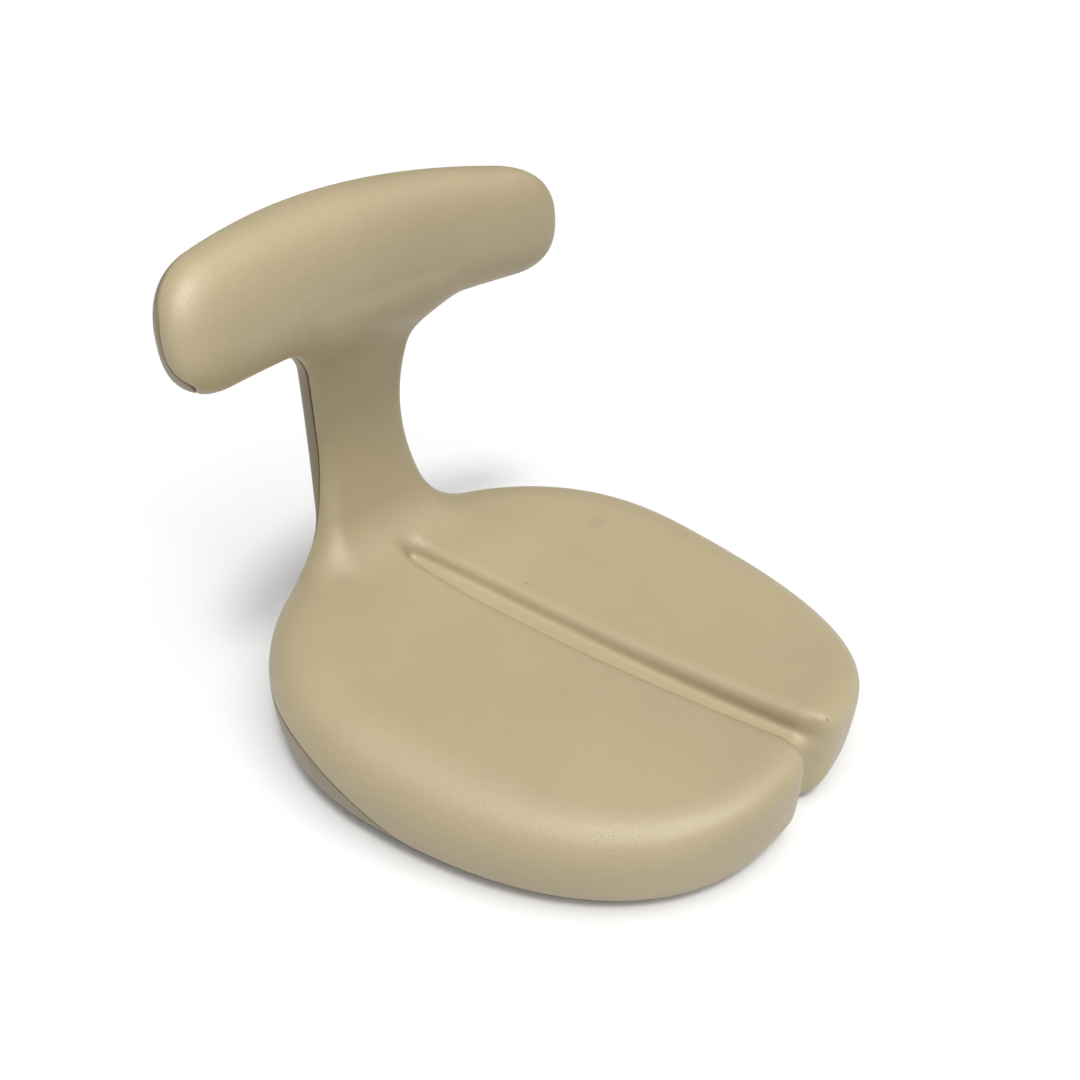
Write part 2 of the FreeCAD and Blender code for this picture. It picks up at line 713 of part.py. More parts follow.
def cut(label, base, tool):
    feature = doc.addObject("Part::Cut", label)
    feature.Base = base
    feature.Tool = tool
    return feature


def place(feature, label, position, direction=Vector(0, 0, 1)):
    feature.Placement = Placement(position, Rotation(Vector(0, 0, 1), direction))
    return keep(feature, label)


def socket_bolt(label, length, position, direction):
    """A bolt with a round head above its own origin and its shank below, turned to the direction."""
    name = label + "_"
    head = cylinder(name + "head", "Dimensions.bolt_head_radius", "Dimensions.bolt_head_height")
    shank = cylinder(name + "shank", "Dimensions.bolt_radius", "%s" % length, -length)
    socket = doc.addObject("Part::Prism", name + "socket")
    socket.Polygon = 6
    bind(socket, "Circumradius", "Dimensions.bolt_socket_radius")
    bind(socket, "Height", "Dimensions.bolt_head_height")
    socket.Placement = Placement(Vector(0, 0, dim("bolt_head_height") / 2), Rotation())
    place(cut(name + "bolt", joined(name + "blank", [head, shank]), socket), label, position, direction)


def tee_nut(label, position):
    name = label + "_"
    flange = cylinder(name + "flange", "Dimensions.nut_flange_radius", "Dimensions.nut_flange_thickness")
    barrel = cylinder(name + "barrel", "Dimensions.nut_barrel_radius", "10")
    bore = cylinder(name + "bore", "Dimensions.bolt_radius + 0.1", "30", -5)
    place(cut(name + "nut", joined(name + "blank", [flange, barrel]), bore), label, position)


def hex_nut(label, position, direction):
    name = label + "_"
    block = doc.addObject("Part::Prism", name + "block")
    block.Polygon = 6
    bind(block, "Circumradius", "Dimensions.hex_nut_radius")
    bind(block, "Height", "Dimensions.hex_nut_height")
    bore = cylinder(name + "bore", "Dimensions.bolt_radius + 0.1", "30", -5)
    place(cut(name + "nut", block, bore), label, position, direction)


def foot(label, position):
    """A rubber foot: a pad on the floor, a spigot through the cover and a recess for its screw."""
    name = label + "_"
    disc = cylinder(name + "disc", "Dimensions.foot_radius", "Dimensions.foot_height")
    spigot_height = "Dimensions.foot_height + Dimensions.cover_thickness"
    spigot = cylinder(name + "spigot", "Dimensions.foot_spigot_radius - 0.2", spigot_height)
    bore = cylinder(name + "bore", "Dimensions.screw_hole_radius", "30", -5)
    recess = cylinder(name + "recess", "Dimensions.screw_head_radius + 0.3", "6.7", -5)
    blank = joined(name + "blank", [disc, spigot])
    place(cut(name + "foot", blank, joined(name + "hollow", [bore, recess])), label, position)


def cross_screw(label, length, position, direction):
    """A flat-headed screw: head above its own origin, shank below, with a crossed slot in the head."""
    name = label + "_"
    head = cylinder(name + "head", "Dimensions.screw_head_radius", "Dimensions.screw_head_height")
    shank = cylinder(name + "shank", "Dimensions.screw_radius", "%s" % length, -length)
    slots = []
    for index, (size_x, size_y) in enumerate(((4.2, 0.9), (0.9, 4.2))):
        slot = doc.addObject("Part::Box", "%sslot_%d" % (name, index))
        slot.Length, slot.Width, slot.Height = size_x, size_y, 2.0
        slot.Placement = Placement(Vector(-size_x / 2, -size_y / 2, 0.5), Rotation())
        slots.append(slot)
    blank = joined(name + "blank", [head, shank])
    place(cut(name + "screw", blank, joined(name + "cross", slots)), label, position, direction)


def screw_cap(label, position, direction):
    name = label + "_"
    disc = cylinder(name + "disc", "Dimensions.cap_radius", "Dimensions.cap_thickness")
    edge = doc.addObject("Part::Fillet", name + "edge")
    edge.Base = disc
    doc.recompute()
    top = max(range(len(disc.Shape.Edges)), key=lambda index: disc.Shape.Edges[index].BoundBox.ZMin)
    edge.Edges = [(top + 1, 0.5, 0.5)]
    place(edge, label, position, direction)


# ---------------------------------------------------------------- build, check and write

doc.recompute()
shape_part("cushion_moulding", cushion_moulding())
shape_part("rear_shell", rear_shell())
base_cover()
seat_board()
spine_bar()
lumbar_plate()

UP = Vector(0, 0, 1)
DOWN = Vector(0, 0, -1)
BACK = Vector(0, 1, 0)
FRONT = Vector(0, -1, 0)
for index, (x, y) in enumerate(BOLT_PLACES, start=1):
    socket_bolt("frame_bolt_%d" % index, 16.0, Vector(x, y, SPINE_TOP), UP)
    tee_nut("tee_nut_%d" % index, Vector(x, y, COVER_TOP + 0.2))
for index, (x, z) in enumerate(LUMBAR_BOLTS, start=1):
    head_y = PLATE_REAR_Y - dim("plate_thickness")
    socket_bolt("lumbar_bolt_%d" % index, 17.0, Vector(x, head_y - 0.3, z), FRONT)
    tab_rear_y = dim("spine_tab_y") + dim("spine_thickness") / 2
    hex_nut("lumbar_nut_%d" % index, Vector(x, tab_rear_y, z), BACK)
for index, (x, y) in enumerate(FOOT_PLACES, start=1):
    foot("foot_%d" % index, Vector(x, y, 0))
    cross_screw("foot_screw_%d" % index, 12.0, Vector(x, y, 1.7), DOWN)
for index, (outer, outward, depth) in enumerate(shell_screw_seats(), start=1):
    seat = outer - outward * (RECESS_DEPTH - 0.02)
    cross_screw("shell_screw_%d" % index, 14.0 if outward.x == 0 else 30.0, seat, outward)
    cap_seat = outer - outward * (dim("cap_thickness") + dim("cap_sink"))
    screw_cap("screw_cap_%d" % index, cap_seat, outward)

doc.recompute()
problems = []
for feature in doc.Objects:
    if "Invalid" in feature.State or "Error" in feature.State:
        problems.append("%s: %s" % (feature.Label, feature.State))
for part in parts:
    if part.Shape.isNull() or not part.Shape.isValid() or len(part.Shape.Solids) != 1:
        problems.append("%s: null, invalid or not one solid (%d)" % (part.Label, len(part.Shape.Solids)))
if problems:
    raise RuntimeError("; ".join(problems))

os.makedirs("parts", exist_ok=True)
for part in parts:
    part.Shape.exportStep("parts/%s.step" % part.Label)
    limits = part.Shape.BoundBox
    print(part.Label, "volume %.1f cm3" % (part.Shape.Volume / 1000),
          "from (%.1f %.1f %.1f)" % (limits.XMin, limits.YMin, limits.ZMin),
          "to (%.1f %.1f %.1f)" % (limits.XMax, limits.YMax, limits.ZMax))
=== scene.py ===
import json
import math

import bpy
import numpy as np
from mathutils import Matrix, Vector

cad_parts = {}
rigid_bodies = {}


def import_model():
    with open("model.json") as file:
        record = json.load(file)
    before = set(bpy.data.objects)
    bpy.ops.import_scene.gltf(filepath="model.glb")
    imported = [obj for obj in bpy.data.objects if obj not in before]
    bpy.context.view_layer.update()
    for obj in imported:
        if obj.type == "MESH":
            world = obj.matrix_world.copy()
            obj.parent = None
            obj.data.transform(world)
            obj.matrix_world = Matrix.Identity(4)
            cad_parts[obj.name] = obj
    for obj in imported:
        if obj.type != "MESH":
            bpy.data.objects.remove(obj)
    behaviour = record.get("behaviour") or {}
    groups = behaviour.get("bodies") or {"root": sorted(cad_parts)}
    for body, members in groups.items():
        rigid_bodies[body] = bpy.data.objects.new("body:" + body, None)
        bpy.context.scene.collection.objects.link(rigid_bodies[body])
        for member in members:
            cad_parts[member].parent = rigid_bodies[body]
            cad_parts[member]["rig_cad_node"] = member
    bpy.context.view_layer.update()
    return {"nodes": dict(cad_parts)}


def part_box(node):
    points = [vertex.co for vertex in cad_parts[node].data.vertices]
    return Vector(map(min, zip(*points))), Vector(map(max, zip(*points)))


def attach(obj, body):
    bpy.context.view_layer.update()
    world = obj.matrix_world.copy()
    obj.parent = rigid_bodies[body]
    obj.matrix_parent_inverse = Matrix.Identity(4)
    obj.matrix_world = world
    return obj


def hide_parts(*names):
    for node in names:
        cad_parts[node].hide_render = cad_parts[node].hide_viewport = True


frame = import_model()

# Legless floor chair. The foam body and the rear shell are one smooth blended form, worked out in
# millimetres as a signed distance, meshed, and cut along the parting line between the two pieces.
# Everything else shown is a CAD node with its own material. -Y is the front, +Z is up.

MM = 0.001

# added where a division or a power would otherwise meet zero
TINY = 1e-9
TINY_SQUARE = 1e-12


def in_mm(node):
    low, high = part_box(node)
    return np.array(low) / MM, np.array(high) / MM


CUSHION_LOW, CUSHION_HIGH = in_mm("cushion_moulding")
SHELL_LOW, SHELL_HIGH = in_mm("rear_shell")
COVER_LOW, COVER_HIGH = in_mm("base_cover")

# ---------------------------------------------------------------- sizes, in millimetres

UNDERSIDE = CUSHION_LOW[2]

# seat plan: a superellipse, squarer in front than behind, narrowed towards the front
SEAT_MIDDLE_Y = -8.5
SEAT_FRONT = SEAT_MIDDLE_Y - CUSHION_LOW[1]
SEAT_REAR = 201.5
SEAT_HALF_WIDTH = 166.0
SEAT_FRONT_POWER = 3.3
SEAT_REAR_POWER = 2.35
SEAT_TAPER = -0.107
SEAT_BARREL = -0.181
SIDE_DRAFT = 0.107
DRAFT_HEIGHT = 39.0
DRAFT_ROUND = 10.0

# seat height: a slope along its sides, and a middle that dips behind and swells up in front
SEAT_THICKNESS = 47.0
SEAT_REAR_SLOPE = 0.1
MIDDLE_LIFT = -4.6
MIDDLE_SLOPE = 16.7
MIDDLE_CURVE = 11.0
SIDE_EDGE = 42.0
FRONT_EDGE = 17.0
BOTTOM_EDGE = 23.0

# neck: a flat section that follows an arc and flares to both ends
NECK_ARC = 206.0
NECK_REAR_Y = 180.7
NECK_MIDDLE_Z = 162.0
NECK_HALF_WIDTH = 41.0
NECK_HALF_THICKNESS = 12.5
NECK_CORNER = NECK_HALF_THICKNESS - 1.5
NECK_FLARE = 0.555
NECK_REACH = 102.5
NECK_ARC_LIMIT = 0.9
NECK_FOOT_ROUND = 12.0

# bar: a superellipse section that follows an arc seen from above
BAR_HALF_LENGTH = 176.0
BAR_HALF_DEPTH = 34.2
BAR_HALF_HEIGHT = 44.7
BAR_MIDDLE_Y = 166.0
BAR_MIDDLE_Z = CUSHION_HIGH[2] - BAR_HALF_HEIGHT - 0.7
BAR_SWEEP = 34.4
BAR_DROP = 5.9
BAR_DEPTH_LOSS = 15.5
BAR_HEIGHT_LOSS = 10.3
BAR_POWER = 2.46
BAR_LEAN = math.radians(-2.0)
BAR_END_BLEND = 53.0
BAR_END_EXCESS = 6.5

# the flare of the neck and the taper of the bar stop growing at this share of their value at the end
PAST_END_LIMIT = 1.2

# how the three run into each other; the blend with the bar fades out up to the bar's middle
SEAT_BLEND = 30.0
BAR_BLEND = 33.0
BAR_BLEND_SPAN = 0.8 * BAR_HALF_HEIGHT
BAR_BLEND_LEAST = 0.02
NECK_TOP_Z = BAR_MIDDLE_Z - 20.0
NECK_TOP_ROUND = 20.0

# groove along the seat and notch through its front
GROOVE_HALF_WIDTH = 9.0
GROOVE_END_HALF_WIDTH = 3.8
GROOVE_END_Y = 130.0
GROOVE_TAPER = 70.0
GROOVE_REAR_DEPTH = 10.0
GROOVE_EXTRA_DEPTH = 5.5
GROOVE_FLOOR_ROUND = 5.0
GROOVE_CEILING = 115.0
NOTCH_HALF_WIDTH = 8.7
NOTCH_DEPTH = 15.0
NOTCH_FLARE = 18.0
NOTCH_FLARE_LIMIT = 0.97
NOTCH_END_ROUND = 10.0
GROOVE_ROUND = 12.0
NOTCH_ROUND = 8.0

# parting between foam and shell: the shell's edge round the seat. Each slope is about the length of
# its height's gradient, and turns that height into a distance.
PARTING_TOP_Z = 46.0
PARTING_FRONT_Y = -52.0
PARTING_RISE = 0.47
PARTING_BEND = 18.0
PARTING_SLOPE = 1.1
PARTING_ROUND = 10.0

# its tongue behind the seat, which fades out further up the neck
TONGUE_HALF_SPAN = 150.0
TONGUE_RISE = 135.0
TONGUE_SLOPE = 1.5
TONGUE_ROUND = 8.0
TONGUE_FADE_LOW_Z = 100.0
TONGUE_FADE_HIGH_Z = 180.0
TONGUE_FADE = 400.0

# its line along the neck, straight down from just below the waist, and along the bar
NECK_PARTING_SHIFT = 4.2
NECK_PARTING_LOW_Z = NECK_MIDDLE_Z - 12
BAR_PARTING_LOW_Z = 222.0
BAR_PARTING_HIGH_Z = 262.0
BAR_PARTING_SHIFT = 1.5
BAR_PARTING_LEAN = 0.09
BAR_PARTING_STRAIGHT = 8
BAR_PARTING_LOW_CURVE = 0.027
BAR_PARTING_HIGH_CURVE = 0.008
BAR_PARTING_FOREMOST = -12.5
BAR_PARTING_ROUND = 4.0

PARTING_GAP = 0.35
SHELL_SET_BACK = 0.25
EDGE_ROUND = 1.4
EDGE_ROUND_PART = EDGE_ROUND * 0.45
EDGE_LEAN_LIMIT = 0.96
LIP_DEPTH = 5.0

# meshing, and the limits that keep the steps along the surface short
CELL = 3.0
SNAP_REACH = 0.32 * CELL
SNAP_ROUNDS = 4
SNAP_TOLERANCE = 0.12
CUT_TOLERANCE = 0.05
SLOPE_FLOOR = 0.05
SNAP_SLOPE_FLOOR = 0.2
LONGEST_STEP = 2
LONGEST_SNAP_STEP = 1.5
LEAST_SLOPE = 1e-6

# faint marks in the skin, as x and y on the seat top, and how much their height counts
SINK_MARKS = ((-64.0, 135.0), (118.0, 46.0))
VENT_DOTS = ((22.7, 40.7), (18.2, -193.6))
SPOT_FLATTENING = 0.1

FOAM_SHADE = (0.352, 0.293, 0.178)
FOAM_LIGHT = (0.388, 0.324, 0.196)
# the rear shell's plastic: its own darker tone, made darker still by painted shade
SHELL_TONE_WITH_PAINTED_SHADE = (0.235, 0.19, 0.112)
PLAIN_SHADE = 0.9


# ---------------------------------------------------------------- signed distances


def smooth_min(a, b, k):
    overlap = np.clip(k - np.abs(a - b), 0, None) / k
    return np.minimum(a, b) - overlap * overlap * k * 0.25


def smooth_max(a, b, k):
    return -smooth_min(-a, -b, k)


def smooth_step(value, low, high):
    t = np.clip((value - low) / (high - low), 0, 1)
    return t * t * (3 - 2 * t)


def superellipse(u, v, half_u, half_v, power):
    """Near its outline, the distance to a superellipse."""
    a = np.abs(u) / half_u + TINY
    b = np.abs(v) / half_v + TINY
    size = (a ** power + b ** power) ** (1 / power)
    slope_u = size ** (1 - power) * a ** (power - 1) / half_u
    slope_v = size ** (1 - power) * b ** (power - 1) / half_v
    return (size - 1) / np.sqrt(slope_u ** 2 + slope_v ** 2 + TINY_SQUARE)


def rounded_box(across, along):
    """The distance to a rectangle, from how far a point lies past its sides and its ends."""
    outside = np.hypot(np.clip(across, 0, None), np.clip(along, 0, None))
    return outside + np.minimum(np.maximum(across, along), 0)


def front_share(y):
    """0 at the middle of the seat, 1 at its front end, negative behind the middle."""
    return np.clip((SEAT_MIDDLE_Y - y) / SEAT_FRONT, -1, 1)


def seat_top(x, y):
    share = front_share(y)
    swell = MIDDLE_LIFT + MIDDLE_SLOPE * share + MIDDLE_CURVE * share * share
    slope = SEAT_REAR_SLOPE * (y - SEAT_MIDDLE_Y + SEAT_FRONT)
    return UNDERSIDE + SEAT_THICKNESS + slope + swell * (1 - (x / SEAT_HALF_WIDTH) ** 2)


def seat_distance(x, y, z):
    in_front = y < SEAT_MIDDLE_Y
    power = np.where(in_front, SEAT_FRONT_POWER, SEAT_REAR_POWER)
    reach = np.where(in_front, SEAT_FRONT, SEAT_REAR)
    share = front_share(y)
    widening = 1 + SEAT_TAPER * share + SEAT_BARREL * (share * share - 0.5)
    height = z - UNDERSIDE
    side = superellipse(x / widening, y - SEAT_MIDDLE_Y, SEAT_HALF_WIDTH, reach, power)
    side = side + SIDE_DRAFT * smooth_max(DRAFT_HEIGHT - height, 0.0, DRAFT_ROUND)
    edge = SIDE_EDGE + (FRONT_EDGE - SIDE_EDGE) * np.clip(share, 0, 1) ** 2
    block = smooth_max(side, z - seat_top(x, y), edge)
    return smooth_max(block, -height, BOTTOM_EDGE)


def neck_middle_y(z):
    rise = np.clip((z - NECK_MIDDLE_Z) / NECK_ARC, -NECK_ARC_LIMIT, NECK_ARC_LIMIT)
    return NECK_REAR_Y - NECK_ARC + NECK_ARC * np.sqrt(1 - rise * rise)


def neck_distance(x, y, z):
    share = np.clip(((z - NECK_MIDDLE_Z) / NECK_REACH) ** 2, 0, PAST_END_LIMIT)
    across = np.abs(x) - (NECK_HALF_WIDTH * (1 + NECK_FLARE * share) - NECK_CORNER)
    along = np.abs(y - neck_middle_y(z)) - (NECK_HALF_THICKNESS - NECK_CORNER)
    return smooth_max(rounded_box(across, along) - NECK_CORNER, UNDERSIDE - z, NECK_FOOT_ROUND)


def bar_middle_y(x):
    return BAR_MIDDLE_Y - BAR_SWEEP * (x / BAR_HALF_LENGTH) ** 2


def bar_distance(x, y, z):
    share = np.clip((x / BAR_HALF_LENGTH) ** 2, 0, PAST_END_LIMIT)
    depth = BAR_HALF_DEPTH - BAR_DEPTH_LOSS * share
    height = BAR_HALF_HEIGHT - BAR_HEIGHT_LOSS * share
    dy = y - bar_middle_y(x)
    dz = z - (BAR_MIDDLE_Z - BAR_DROP * (x / BAR_HALF_LENGTH) ** 2)
    u = dy * math.cos(BAR_LEAN) + dz * math.sin(BAR_LEAN)
    v = dz * math.cos(BAR_LEAN) - dy * math.sin(BAR_LEAN)
    size = np.abs(u / depth) ** BAR_POWER + np.abs(v / height) ** BAR_POWER + TINY_SQUARE
    body = (size ** (2 / BAR_POWER) - 1) / 2 * np.sqrt(depth * height)
    return smooth_max(body, np.abs(x) - BAR_HALF_LENGTH - BAR_END_EXCESS, BAR_END_BLEND)


def without_groove(body, x, y, z):
    """Cuts the trough, which narrows to a round end behind, and the notch that flares out in front."""
    share = np.sqrt(np.clip((GROOVE_END_Y - y) / GROOVE_TAPER, 0, 1))
    half = GROOVE_END_HALF_WIDTH + (GROOVE_HALF_WIDTH - GROOVE_END_HALF_WIDTH) * share
    depth = GROOVE_REAR_DEPTH + GROOVE_EXTRA_DEPTH * np.clip(front_share(y), 0, 1)
    beside = np.hypot(x, np.clip(y - GROOVE_END_Y, 0, None)) - half
    trough = smooth_max(beside, seat_top(x, y) - depth - z, GROOVE_FLOOR_ROUND)
    trough = np.maximum(trough, z - GROOVE_CEILING)
    front = SEAT_MIDDLE_Y - SEAT_FRONT
    nearness = np.clip(1 - (y - front) / NOTCH_FLARE, 0, NOTCH_FLARE_LIMIT)
    flare = NOTCH_FLARE * (1 - np.sqrt(1 - nearness ** 2))
    beside = np.abs(x) - NOTCH_HALF_WIDTH - flare
    notch = smooth_max(beside, y - front - NOTCH_DEPTH, NOTCH_END_ROUND)
    body = smooth_max(body, -trough, GROOVE_ROUND)
    return smooth_max(body, -notch, NOTCH_ROUND)


def chair_distance(points):
    x, y, z = points[..., 0], points[..., 1], points[..., 2]
    body = smooth_min(seat_distance(x, y, z), neck_distance(x, y, z), SEAT_BLEND)
    body = smooth_max(body, z - NECK_TOP_Z, NECK_TOP_ROUND)
    blend = BAR_BLEND * np.clip((BAR_MIDDLE_Z - z) / BAR_BLEND_SPAN, BAR_BLEND_LEAST, 1)
    body = smooth_min(body, bar_distance(x, y, z), blend)
    body = np.maximum(body, UNDERSIDE - z)
    return without_groove(body, x, y, z)


def shell_edge_height(y):
    """The upper edge of the shell round the seat: it climbs from the underside and then runs level."""
    return smooth_min(PARTING_RISE * (y - PARTING_FRONT_Y), PARTING_TOP_Z, PARTING_BEND)


def shell_tongue_height(x):
    """The upper edge of the shell behind the seat, where it sweeps up into the neck."""
    share = np.clip((TONGUE_HALF_SPAN - np.abs(x)) / TONGUE_HALF_SPAN, 0, 1)
    return PARTING_TOP_Z + TONGUE_RISE * share ** 2


def bar_parting_offset(dz):
    """How far the parting lies behind the middle of the bar, at a height above its middle."""
    low = np.clip(-dz - BAR_PARTING_STRAIGHT, 0, None)
    high = np.clip(dz - BAR_PARTING_STRAIGHT, 0, None)
    straight = BAR_PARTING_SHIFT + BAR_PARTING_LEAN * dz
    offset = straight - BAR_PARTING_LOW_CURVE * low ** 2 + BAR_PARTING_HIGH_CURVE * high ** 2
    return smooth_max(offset, BAR_PARTING_FOREMOST, BAR_PARTING_ROUND)


def parting_distance(points):
    """Positive on the foam's side of the parting surface, negative on the shell's."""
    x, y, z = points[..., 0], points[..., 1], points[..., 2]
    above_edge = (z - shell_edge_height(y)) / PARTING_SLOPE
    before_neck = neck_middle_y(np.maximum(z, NECK_PARTING_LOW_Z)) - NECK_PARTING_SHIFT - y
    before_bar = bar_middle_y(x) + bar_parting_offset(z - BAR_MIDDLE_Z) - y
    share = smooth_step(z, BAR_PARTING_LOW_Z, BAR_PARTING_HIGH_Z)
    before = before_neck * (1 - share) + before_bar * share
    above_tongue = (z - shell_tongue_height(x)) / TONGUE_SLOPE
    above_tongue -= TONGUE_FADE * smooth_step(z, TONGUE_FADE_LOW_Z, TONGUE_FADE_HIGH_Z)
    before = smooth_max(before, above_tongue, TONGUE_ROUND)
    return smooth_min(above_edge, before, PARTING_ROUND)


# ---------------------------------------------------------------- openings cut through the skin

COVER_MIDDLE = (COVER_LOW + COVER_HIGH) / 2
COVER_HALF = (COVER_HIGH - COVER_LOW) / 2
COVER_CORNER = 80.0
COVER_GAP = 0.6
COVER_REACH = 8
FAR = 60.0


def cover_distance(points):
    """Positive outside the rounded opening for the base cover, and everywhere above the underside."""
    across = np.abs(points[..., 0] - COVER_MIDDLE[0]) - (COVER_HALF[0] - COVER_CORNER)
    along = np.abs(points[..., 1] - COVER_MIDDLE[1]) - (COVER_HALF[1] - COVER_CORNER)
    distance = rounded_box(across, along) - COVER_CORNER - COVER_GAP
    return np.where(points[..., 2] < UNDERSIDE + COVER_REACH, distance, FAR)


def cap_axis(index):
    """Middle and outward direction of a screw cap, from the thin disc's own mesh."""
    mesh = frame["nodes"]["screw_cap_%d" % index].data
    points = np.array([tuple(vertex.co) for vertex in mesh.vertices]) / MM
    middle = (points.min(axis=0) + points.max(axis=0)) / 2
    spread = np.linalg.eigh(np.cov((points - points.mean(axis=0)).T))
    outward = spread[1][:, 0]
    return middle, outward * np.sign(outward[1])


CAP_RADIUS = 6.4
CAP_GAP = 0.5
CAP_REACH = 9
CAPS = [cap_axis(index) for index in range(1, 5)]


def cap_distance(points):
    """Positive outside every screw cap's round opening."""
    nearest = np.full(points.shape[:-1], FAR)
    for middle, outward in CAPS:
        offset = points - middle
        depth = offset @ outward
        radial = np.linalg.norm(offset - depth[..., None] * outward, axis=-1)
        beside = np.minimum(nearest, radial - CAP_RADIUS - CAP_GAP)
        nearest = np.where(np.abs(depth) < CAP_REACH, beside, nearest)
    return nearest


# ---------------------------------------------------------------- meshing


def gradient(field, points, step=0.15):
    result = np.empty_like(points)
    for axis in range(3):
        shift = np.zeros(3)
        shift[axis] = step
        result[:, axis] = (field(points + shift) - field(points - shift)) / (2 * step)
    return result


def onto_surface(points, rounds=3):
    for _ in range(rounds):
        slope = gradient(chair_distance, points)
        size = np.clip((slope ** 2).sum(axis=1), SLOPE_FLOOR, None)
        step = np.clip(chair_distance(points) / size, -LONGEST_STEP, LONGEST_STEP)
        points = points - step[:, None] * slope
    return points


def surface_normals(points):
    slope = gradient(chair_distance, points)
    return slope / np.linalg.norm(slope, axis=1, keepdims=True)


def grid_axes():
    low = np.minimum(CUSHION_LOW, SHELL_LOW) - 3 * CELL
    high = np.maximum(CUSHION_HIGH, SHELL_HIGH) + 3 * CELL
    half_x = math.ceil(max(-low[0], high[0]) / CELL) * CELL
    xs = np.arange(-half_x, half_x + CELL / 2, CELL)
    ys = np.arange(low[1], high[1] + CELL, CELL)
    zs = np.arange(low[2], high[2] + CELL, CELL)
    return xs, ys, zs


def edge_crossings(values, axes):
    """Per cell: the summed places where its edges cross the surface, and how many there are."""
    shape = tuple(size - 1 for size in values.shape)
    total = np.zeros(shape + (3,))
    count = np.zeros(shape)
    grid = np.stack(np.meshgrid(*axes, indexing="ij"), axis=-1)
    for axis in range(3):
        others = [other for other in range(3) if other != axis]
        start = [slice(None)] * 3
        end = [slice(None)] * 3
        start[axis], end[axis] = slice(0, -1), slice(1, None)
        a, b = values[tuple(start)], values[tuple(end)]
        crossed = (a < 0) != (b < 0)
        share = np.where(crossed, a / np.where(crossed, a - b, 1), 0)
        place = grid[tuple(start)] + share[..., None] * (grid[tuple(end)] - grid[tuple(start)])
        place = np.where(crossed[..., None], place, 0)
        for first in (0, 1):
            for second in (0, 1):
                window = [slice(None)] * 3
                window[others[0]] = slice(first, shape[others[0]] + first)
                window[others[1]] = slice(second, shape[others[1]] + second)
                total += place[tuple(window)]
                count += crossed[tuple(window)]
    return total, count


def surface_quads(values, index):
    """Quads round every grid edge that crosses the surface, wound to face outwards."""
    quads = []
    for axis in range(3):
        u, v = (axis + 1) % 3, (axis + 2) % 3
        start = [slice(1, -1)] * 3
        end = [slice(1, -1)] * 3
        start[axis], end[axis] = slice(0, -1), slice(1, None)
        a, b = values[tuple(start)], values[tuple(end)]
        cells = np.argwhere((a < 0) != (b < 0))
        outward = (a < 0)[tuple(cells.T)]
        base = cells + 1
        base[:, axis] = cells[:, axis]
        corners = []
        for du, dv in ((-1, -1), (0, -1), (0, 0), (-1, 0)):
            cell = base.copy()
            cell[:, u] += du
            cell[:, v] += dv
            corners.append(index[tuple(cell.T)])
        quad = np.stack(corners, axis=1)
        quad[~outward] = quad[~outward][:, ::-1]
        quads.append(quad)
    return np.concatenate(quads)


def relaxed(points, quads, rounds=6):
    """Evens out the mesh along the surface, without leaving it."""
    edges = np.concatenate([quads[:, [side, (side + 1) % 4]] for side in range(4)])
    edges = np.concatenate([edges, edges[:, ::-1]])
    count = np.bincount(edges[:, 0], minlength=len(points))[:, None]
    for _ in range(rounds):
        across = points[edges[:, 1]]
        sums = [np.bincount(edges[:, 0], across[:, axis], len(points)) for axis in range(3)]
        points = onto_surface(points * 0.5 + np.stack(sums, 1) / count * 0.5, 1)
    return onto_surface(points, 3)


def chair_surface():
    axes = grid_axes()
    grid = np.stack(np.meshgrid(*axes, indexing="ij"), axis=-1)
    values = np.stack([chair_distance(layer) for layer in grid])
    total, count = edge_crossings(values, axes)
    used = count > 0
    index = np.full(used.shape, -1)
    index[used] = np.arange(used.sum())
    points = total[used] / count[used][:, None]
    quads = surface_quads(values, index)
    points = relaxed(points, quads)
    triangles = np.concatenate([quads[:, [0, 1, 2]], quads[:, [0, 2, 3]]])
    return points, triangles


# ---------------------------------------------------------------- cutting along a line


def snapped(points, field, level):
    """Moves the points that lie close to the line onto it, along the surface."""
    value = field(points) - level
    close = np.abs(value) < SNAP_REACH
    moving = points[close]
    for _ in range(SNAP_ROUNDS):
        normal = surface_normals(moving)
        slope = gradient(field, moving)
        slope -= (slope * normal).sum(axis=1, keepdims=True) * normal
        size = np.clip((slope ** 2).sum(axis=1), SNAP_SLOPE_FLOOR, None)
        step = np.clip((field(moving) - level) / size, -LONGEST_SNAP_STEP, LONGEST_SNAP_STEP)
        moving = onto_surface(moving - step[:, None] * slope, 1)
    points = points.copy()
    points[close] = moving
    return points


def split(points, triangles, field, level, snap):
    """Cuts the triangles that cross the field's level, so that the line runs along their edges."""
    if snap:
        points = snapped(points, field, level)
    value = field(points) - level
    value[np.abs(value) < (SNAP_TOLERANCE if snap else CUT_TOLERANCE)] = 0
    sign = np.sign(value).astype(int)
    corners = sign[triangles]
    crossing = (corners.min(axis=1) < 0) & (corners.max(axis=1) > 0)
    kept = [tuple(triangle) for triangle in triangles[~crossing]]
    made = {}
    new_points = []

    def midpoint(a, b):
        key = (min(a, b), max(a, b))
        if key not in made:
            share = value[key[0]] / (value[key[0]] - value[key[1]])
            made[key] = len(points) + len(new_points)
            new_points.append(points[key[0]] * (1 - share) + points[key[1]] * share)
        return made[key]

    for triangle in triangles[crossing]:
        ring = []
        for place in range(3):
            a, b = int(triangle[place]), int(triangle[(place + 1) % 3])
            ring.append((a, sign[a]))
            if sign[a] * sign[b] < 0:
                ring.append((midpoint(a, b), 0))
        for side in (1, -1):
            part = [corner for corner, state in ring if state * side >= 0]
            for last in range(2, len(part)):
                kept.append((part[0], part[last - 1], part[last]))
    if new_points:
        points = np.concatenate([points, onto_surface(np.array(new_points), 2)])
    return points, np.array(kept)


